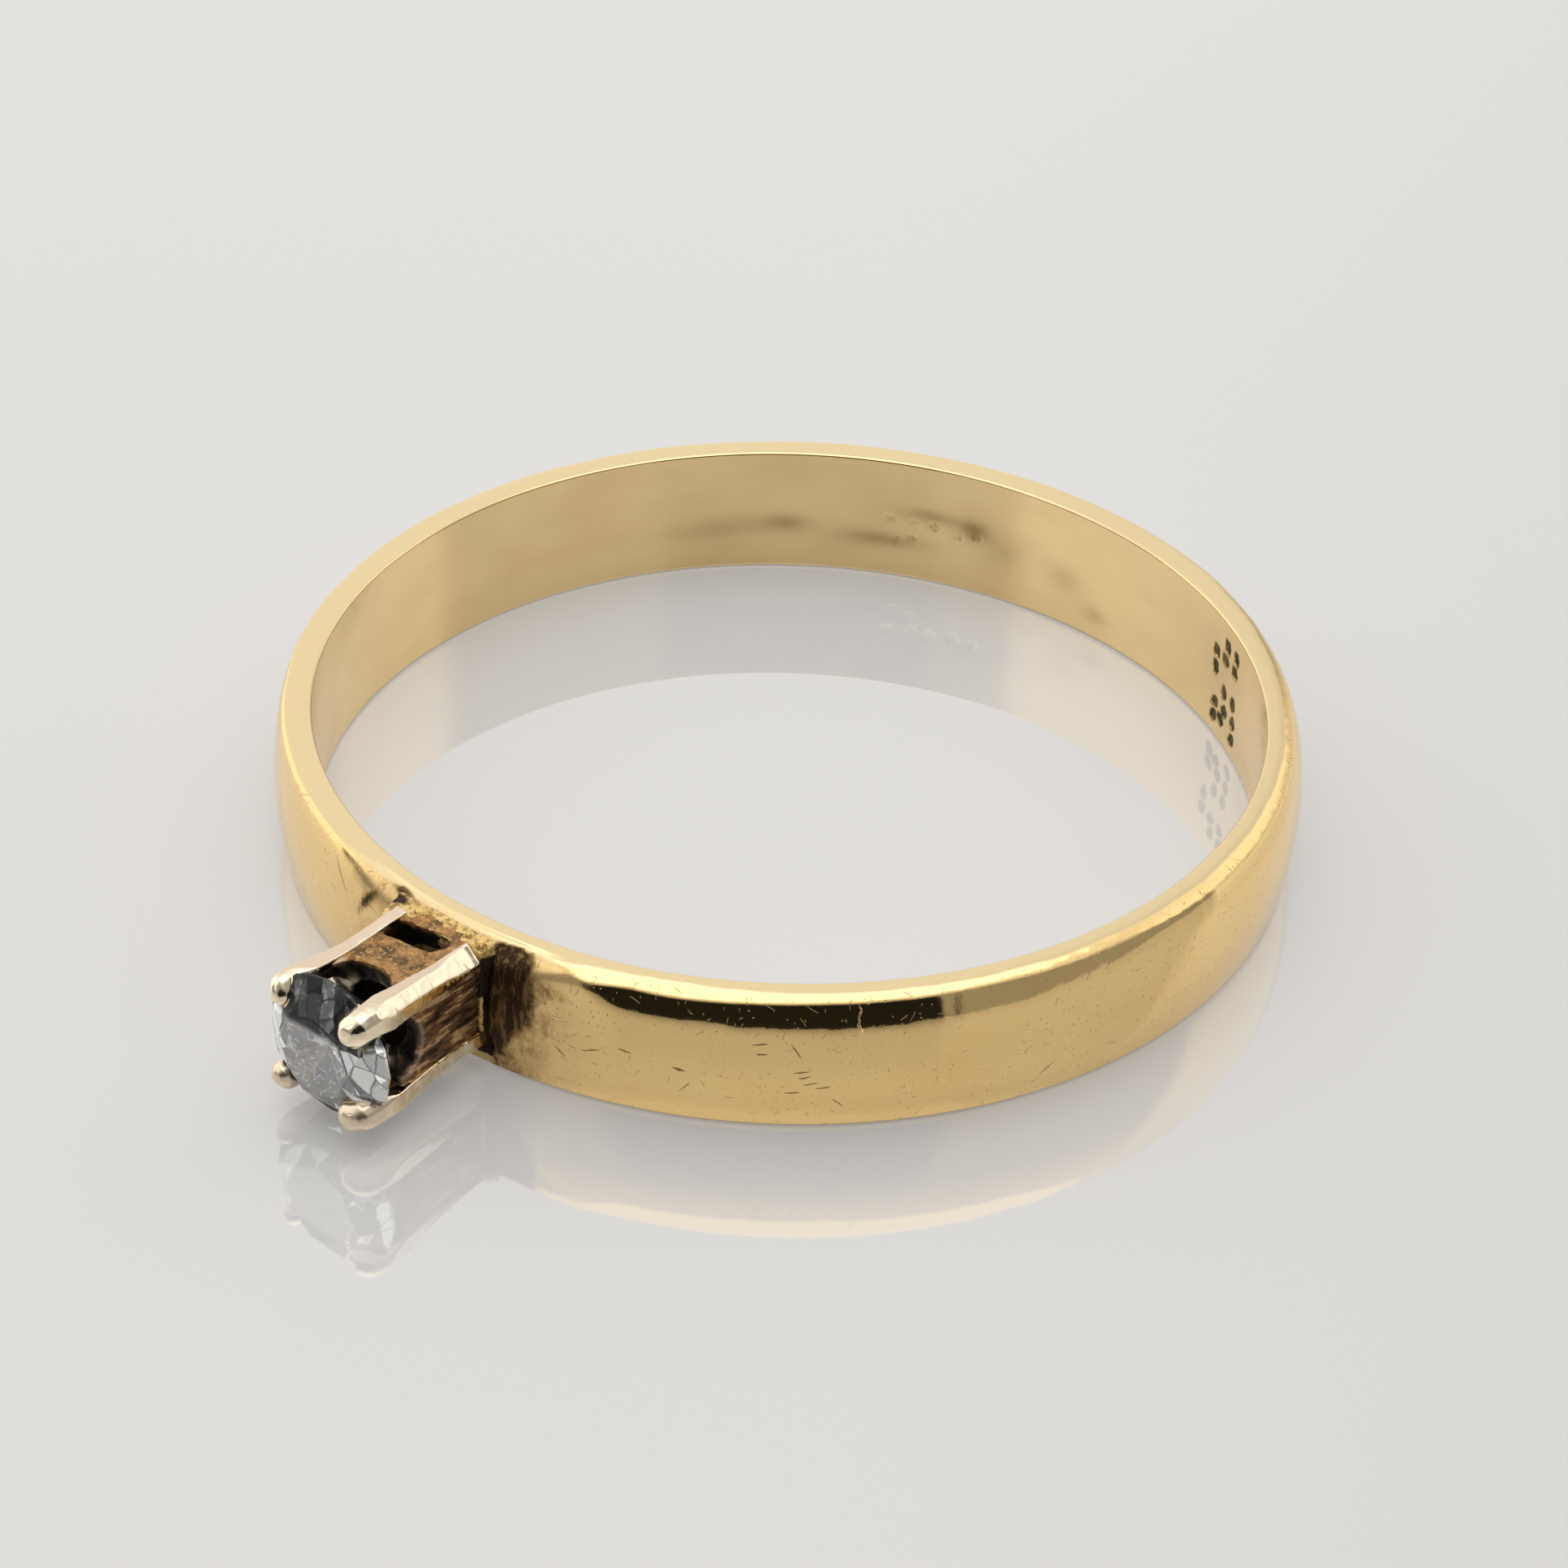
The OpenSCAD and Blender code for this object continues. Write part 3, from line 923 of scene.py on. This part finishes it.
def remeshed(bm, voxel, smooth_steps):
    """Points, normals and faces of one closed skin round everything in a bmesh, smoothed."""
    mesh = bpy.data.meshes.new("raw")
    bm.to_mesh(mesh)
    bm.free()
    raw = link(mesh, "raw")
    remesh = raw.modifiers.new("remesh", "REMESH")
    remesh.mode = "VOXEL"
    remesh.voxel_size = voxel
    smooth = raw.modifiers.new("smooth", "SMOOTH")
    smooth.factor = 0.5
    smooth.iterations = smooth_steps
    bpy.context.view_layer.update()
    shape = raw.evaluated_get(bpy.context.evaluated_depsgraph_get()).to_mesh()
    points = [Vector(v.co) for v in shape.vertices]
    normals = [Vector(v.normal) for v in shape.vertices]
    faces = [tuple(p.vertices) for p in shape.polygons]
    raw.to_mesh_clear()
    bpy.data.objects.remove(raw)
    bpy.data.meshes.remove(mesh)
    return points, normals, faces


def crown_height(r):
    """Height of the stone's crown above its girdle's top edge at a radius."""
    if r >= stone_r:
        return 0.0
    return min(crown_h, (stone_r - r) / (stone_r - table_r) * crown_h)


def clear_of_stone(p, gap=0.004):
    """Moves a point that is inside the stone's outline out of it."""
    r = math.hypot(p.x, p.y)
    if r >= stone_r + gap or r < 1e-6:
        return p
    top = girdle_out + GIRDLE_T + crown_height(r) + gap
    bottom = girdle_out - (stone_r - r) / stone_r * pavilion_h - gap
    if not bottom < p.z < top:
        return p
    if p.z > girdle_out and p.z > top - 0.25:
        return Vector((p.x, p.y, top))
    side = stone_r - max(girdle_out - p.z, 0.0) / pavilion_h * stone_r + gap
    return Vector((p.x * side / r, p.y * side / r, p.z))


CLAW_IN = 0.69
CLAW_BEVEL = 0.19

# How each claw was bent: which corner it is at, how far its bar leans sideways and up, and then
# the middle of its rounded tip, across, up and out from the stone's girdle, and the tip's radius
CLAWS = {
    "upper_left": (-1, 1, -0.02, -0.06, (0.86, 0.78, 0.22), 0.24),
    "upper_right": (1, 1, 0.02, 0.06, (0.80, 0.84, 0.22), 0.32),
    "lower_left": (-1, -1, -0.02, 0.12, (0.93, 0.96, 0.20), 0.24),
    "lower_right": (1, -1, 0.02, 0.0, (0.76, 0.92, 0.26), 0.30),
}


def claw_section(inner, reach_x, reach_y, out, bevel):
    return [(x, y, out) for x, y in (
        (inner, CLAW_IN), (reach_x, CLAW_IN), (reach_x, reach_y - bevel),
        (reach_x - bevel, reach_y), (inner, reach_y),
    )]


def make_claw(name, seed, material):
    """A bar that flares from the shank to the stone and ends in a rounded tip bent over it."""
    side, level, shift_x, shift_y, tip, tip_r = CLAWS[name]
    bm = bmesh.new()
    steps = 20
    stations = []
    for i in range(steps + 1):
        t = i / steps
        waist = 0.07 * math.sin(math.pi * t) + 0.03 * smoothstep(0.14, 0.04, t)
        reach = HEAD_HALF + (claw_half - HEAD_HALF) * smoothstep(0.1, 1.0, t) - waist
        ramp = smoothstep(0.15, 0.8, t)
        start = seat_out + (0.22 if level > 0 else -0.05)
        out = start + (girdle_out - start) * t
        bevel = CLAW_BEVEL * (1.0 + 0.5 * smoothstep(0.36, 0.12, t) * (side > 0)) if level > 0 else 0.07
        bevel += 0.09 * smoothstep(0.75, 1.0, t)
        inner = CLAW_IN - 0.08 * (side < 0 < level)
        stations.append(claw_section(inner, reach + shift_x * ramp, reach + shift_y * ramp, out, bevel))
    neck = stations[-4]
    for first, second in zip(stations[:-3], stations[1:-3]):
        hull_of(bm, first + second)
    corner = claw_half - tip_r
    knuckle = ball_points((corner + shift_x, corner + shift_y, girdle_out - 0.02), tip_r)
    bend = ball_points((corner + shift_x - 0.01, corner + shift_y - 0.01, girdle_out + tip[2] - 0.06), tip_r)
    nose = ball_points((tip[0], tip[1], girdle_out + tip[2]), tip_r)
    hull_of(bm, neck + knuckle)
    hull_of(bm, knuckle + bend)
    hull_of(bm, bend + nose)
    points, normals, faces = remeshed(bm, 0.02, 18)
    moved, stain, bronze, matte = [], [], [], []
    for p, n in zip(points, normals):
        key = Vector((p.x * side, p.y * level, p.z)) * 2.6 + Vector((seed * 5.1, 0, 0))
        p = p + n * (0.014 * noise.noise(key * 0.8) + 0.003 * noise.noise(key * 3.0))
        foot = smoothstep(girdle_out - 0.5, girdle_out - 1.5, p.z) * (1.0 if level > 0 else 0.3)
        ridge = math.sin(p.z * 40 + 6 * noise.noise(key * 1.3))
        flank = smoothstep(0.45, 0.8, n.x) * smoothstep(0.4, 0.1, n.y)
        p = p + n * 0.002 * foot * flank * ridge
        p = clear_of_stone(p)
        inward = max(0.0, -(n.x + n.y) / 1.41)
        deep = smoothstep(0.2, 0.7, inward) * smoothstep(girdle_out + 0.15, girdle_out - 0.1, p.z)
        deep *= smoothstep(0.98, 0.86, max(p.x, p.y))
        stain.append(deep)
        # Painted shade on the outward flanks, strongest towards the foot
        bronze.append(flank * max(foot, 0.45 * smoothstep(girdle_out, girdle_out - 0.5, p.z)))
        rubbed = smoothstep(0.80, 0.96, n.y) * smoothstep(0.86, 0.94, p.y + 0.07 * (level < 0 or side < 0))
        low_tip = 0.85 * (level < 0) * smoothstep(girdle_out - 0.3, girdle_out + 0.1, p.z)
        matte.append(max(rubbed, low_tip))
        moved.append(to_head(p.x * side, p.y * level, p.z))
    piece = mesh_object("claw_bar_" + name, moved, faces, material, stain=stain, bronze=bronze, matte=matte)
    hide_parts("claw_" + name)
    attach(piece, "root")


# How far the collet's walls stand out past the CAD's, and then its notches, hole and slots
WEB_PROUD = 0.04
NOTCH_HALF = 0.64
NOTCH_DEEP = 0.52
COLLET_HOLE_R = 0.63
SLOT_MIDDLE = -0.09
SLOT_RISE = 0.55
SLOT_HALF = 0.36
SLOT_R = 0.25


def notch_distance(across, out):
    """Roughly how far a point is inside a wall's U-shaped notch, negative outside it."""
    return (1 - math.hypot(across / NOTCH_HALF, (out - collet_out) / NOTCH_DEEP)) * 0.5


def collet_distance(p):
    """Signed distance of a point from the collet's solid, negative inside, roughly in millimetres."""
    arm, gap = collet_high.x + WEB_PROUD, CLAW_IN
    ax, ay = abs(p.x), abs(p.y)
    outline = min(max(ax - arm, ay - gap), max(ax - gap, ay - arm))
    r = math.hypot(p.x, p.y)
    shape = max(outline, COLLET_HOLE_R - r)
    rag = 0.08 * noise.noise(p * 2.3 + Vector((4.0, 0, 0))) + 0.03 * noise.noise(p * 8.0)
    shape = max(shape, p.z - collet_out + 0.02)
    for across in (p.x, p.y):
        shape = max(shape, notch_distance(across, p.z) - rag)
    past_slot = max(abs(p.x - SLOT_MIDDLE) - SLOT_HALF, 0.0)
    slot = math.hypot(past_slot, p.z - (seat_out + SLOT_RISE - 0.12 * p.x)) - SLOT_R + rag * 0.6
    if abs(p.y) > 0.45:
        shape = max(shape, -slot)
    cone = (girdle_out - (stone_r - r) / stone_r * pavilion_h) - p.z
    return max(shape, -cone * 0.75)


def make_collet(material):
    """The collet: four thick walls with ragged notches and slots, round a hole."""
    step = 0.03
    arm = collet_high.x + WEB_PROUD
    bm = bmesh.new()
    # The solid is sampled on a grid of small cubes, and the remesh joins them into one skin
    n = int(2 * arm / step) + 1
    first_out = seat_out - 0.05
    layers = int((collet_out - first_out) / step) + 1
    filled = set()
    for i in range(n):
        for j in range(n):
            for k in range(layers):
                across, up, out = ((c + 0.5) * step for c in (i, j, k))
                if collet_distance(Vector((across - arm, up - arm, out + first_out))) < 0:
                    filled.add((i, j, k))
    corners, faces = {}, []

    def corner(key):
        if key not in corners:
            i, j, k = key
            corners[key] = bm.verts.new((i * step - arm, j * step - arm, k * step + first_out))
        return corners[key]

    sides = [
        ((1, 0, 0), ((1, 0, 0), (1, 1, 0), (1, 1, 1), (1, 0, 1))),
        ((-1, 0, 0), ((0, 0, 0), (0, 0, 1), (0, 1, 1), (0, 1, 0))),
        ((0, 1, 0), ((0, 1, 0), (0, 1, 1), (1, 1, 1), (1, 1, 0))),
        ((0, -1, 0), ((0, 0, 0), (1, 0, 0), (1, 0, 1), (0, 0, 1))),
        ((0, 0, 1), ((0, 0, 1), (1, 0, 1), (1, 1, 1), (0, 1, 1))),
        ((0, 0, -1), ((0, 0, 0), (0, 1, 0), (1, 1, 0), (1, 0, 0))),
    ]
    for cell in filled:
        for towards, quad in sides:
            if tuple(c + d for c, d in zip(cell, towards)) in filled:
                continue
            bm.faces.new([corner(tuple(c + d for c, d in zip(cell, q))) for q in quad])
    points, normals, faces = remeshed(bm, 0.022, 10)
    moved, lip, stain = [], [], []
    for p, n in zip(points, normals):
        rough = noise.noise(p * 4.0) + 0.5 * noise.noise(p * 9.0)
        p = p + n * 0.014 * rough
        if abs(p.x) > 0.8 and p.z > seat_out + 0.3:
            ridge = math.sin(p.y * 15 + 1.5 * noise.noise(p * 2.0))
            p = p + Vector((math.copysign(0.016 * ridge, p.x), 0, 0))
        near_lip = min(abs(notch_distance(c, p.z)) for c in (p.x, p.y))
        patchy = smoothstep(-0.1, 0.25, noise.noise(p * 2.2 + Vector((0.7, 2.0, 0.4))))
        outward = n.x * p.x + n.y * p.y
        # Painted shade: inner faces of the collet, those turned to its axis and those turned along it, are
        # made near-black
        skin = smoothstep(arm - 0.10, arm - 0.03, max(abs(p.x), abs(p.y)))
        within = (1 - skin) * max(smoothstep(0.1, -0.3, outward), smoothstep(0.2, 0.5, abs(n.z)))
        # Pale notch lips: rubbed metal and painted highlight, weaker on the right
        lip.append(smoothstep(0.10, 0.02, near_lip) * patchy * (1 - 0.7 * smoothstep(0.5, 0.7, p.x)))
        stain.append(within * (1 - 0.8 * lip[-1]))
        moved.append(to_head(p.x, p.y, p.z))
    piece = mesh_object("collet_walls", moved, faces, material, lip=lip, stain=stain)
    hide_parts("collet")
    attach(piece, "root")


def make_solder(material):
    """A granular fillet that fills round the foot of the head, thickest at its upper left claw."""
    bm = bmesh.new()
    top, bottom = half_w - 0.015 - head_rise, -half_w + 0.16 - head_rise
    low, high = seat_out - 0.15, seat_out + 0.27
    side = HEAD_HALF - 0.05
    hull_of(bm, [
        (-1.12, top, low), (1.08, top, low), (-1.10, bottom, low), (1.10, bottom, low), (1.10, 0.5, low),
        (-1.0, 0.95, high), (0.66, 0.95, high), (1.0, 0.86, seat_out + 0.12), (side, 0.3, high - 0.03),
        (-side, bottom + 0.3, high - 0.02), (side, bottom + 0.3, high - 0.02),
    ])
    hull_of(bm, [
        (-1.12, top, low), (-0.30, top, low), (-1.12, 0.7, low), (-0.35, 0.7, low),
        (-1.00, 0.97, seat_out + 0.50), (-0.84, 1.00, seat_out + 0.54), (-0.72, 0.92, seat_out + 0.54),
        (-1.02, 0.72, seat_out + 0.45),
    ])
    points, normals, faces = remeshed(bm, 0.024, 3)
    moved, stain = [], []
    for p, n in zip(points, normals):
        grain = noise.noise(p * 5.0) + 0.6 * noise.noise(p * 11.0) + 0.3 * noise.noise(p * 23.0)
        p = p + n * 0.03 * grain
        flank = smoothstep(0.90, 1.0, abs(p.x)) * smoothstep(0.90, 0.70, p.y)
        seam = bell((p.z - seat_out - 0.22) / 0.035) * smoothstep(-1.05, -0.7, p.y)
        seam *= smoothstep(0.40, 0.15, p.y)
        flank *= 1 - 0.95 * seam * smoothstep(0.0, 0.2, 0.15 + noise.noise(Vector((p.y * 3.0, 2.0, 0.0))))
        left_corner = bell((p.x + 1.05) / 0.30, (p.y - 1.0) / 0.13, (p.z - seat_out - 0.05) / 0.16)
        # Painted shade along the solder's top edge by the collet
        rim_shade = 0.25 * smoothstep(seat_out + 0.18, seat_out + 0.28, p.z)
        stain.append(max(flank, left_corner, rim_shade))
        moved.append(to_head(p.x, p.y, p.z))
    piece = mesh_object("solder_collar", moved, faces, material, stain=stain)
    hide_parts("head_solder")
    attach(piece, "root")


def make_stone(material):
    """A round brilliant, with every facet of its pavilion, girdle, crown and table."""
    star_r = (table_r * math.cos(math.radians(22.5)) + stone_r) / 2
    lower_r = stone_r * 0.24
    cos_half = math.cos(math.radians(22.5))
    star_h = GIRDLE_T + (stone_r - star_r * cos_half) * crown_h / (stone_r - table_r)
    lower_h = -(stone_r - lower_r * cos_half) * pavilion_h / stone_r

    def ring(r, h, count, first):
        turns = (math.radians(first + 360 * i / count) for i in range(count))
        return [to_head(r * math.cos(t), r * math.sin(t), girdle_out + h) for t in turns]

    # Pavilion mains and crown kites face the four claws and the middles of the collet's walls
    points = [to_head(0, 0, girdle_out - pavilion_h)]
    points += ring(lower_r, lower_h, 8, 22.5)
    points += ring(stone_r, 0, 16, 0)
    points += ring(stone_r, GIRDLE_T, 16, 0)
    points += ring(star_r, star_h, 8, 22.5)
    points += ring(table_r, GIRDLE_T + crown_h, 8, 0)
    lower, under, above, star, table = 1, 9, 25, 41, 49
    faces = []
    for i in range(8):
        faces.append((0, lower + i, under + 2 * i, lower + (i + 7) % 8))
        faces.append((lower + i, under + 2 * i + 1, under + 2 * i))
        faces.append((lower + i, under + (2 * i + 2) % 16, under + 2 * i + 1))
        faces.append((above + 2 * i, above + 2 * i + 1, star + i))
        faces.append((above + 2 * i + 1, above + (2 * i + 2) % 16, star + i))
        faces.append((table + i, star + (i + 7) % 8, above + 2 * i, star + i))
        faces.append((table + i, star + i, table + (i + 1) % 8))
    for i in range(16):
        j = (i + 1) % 16
        faces.append((under + i, under + j, above + j, above + i))
    faces.append(tuple(table + i for i in range(8)))
    piece = mesh_object("stone_brilliant", points, faces, material, smooth=False)
    gleam = piece.data.attributes.new("gleam", "FLOAT", "FACE")
    for polygon, value in zip(piece.data.polygons, gleam.data):
        middle = polygon.center / MM
        random_part = 0.5 + 0.5 * noise.noise(middle * 3.7 + Vector((1.0, 5.0, 2.0)))
        value.value = random_part * (0.75 + 0.25 * middle.x)
    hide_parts("stone")
    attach(piece, "root")


# ---------------- build

make_world()
make_floor()
make_band(yellow_gold())
claw_gold = pale_gold()
for claw_seed, claw_name in enumerate(CLAWS):
    make_claw(claw_name, claw_seed, claw_gold)
make_collet(tarnished_gold())
make_solder(gold_solder())
make_stone(brilliant())
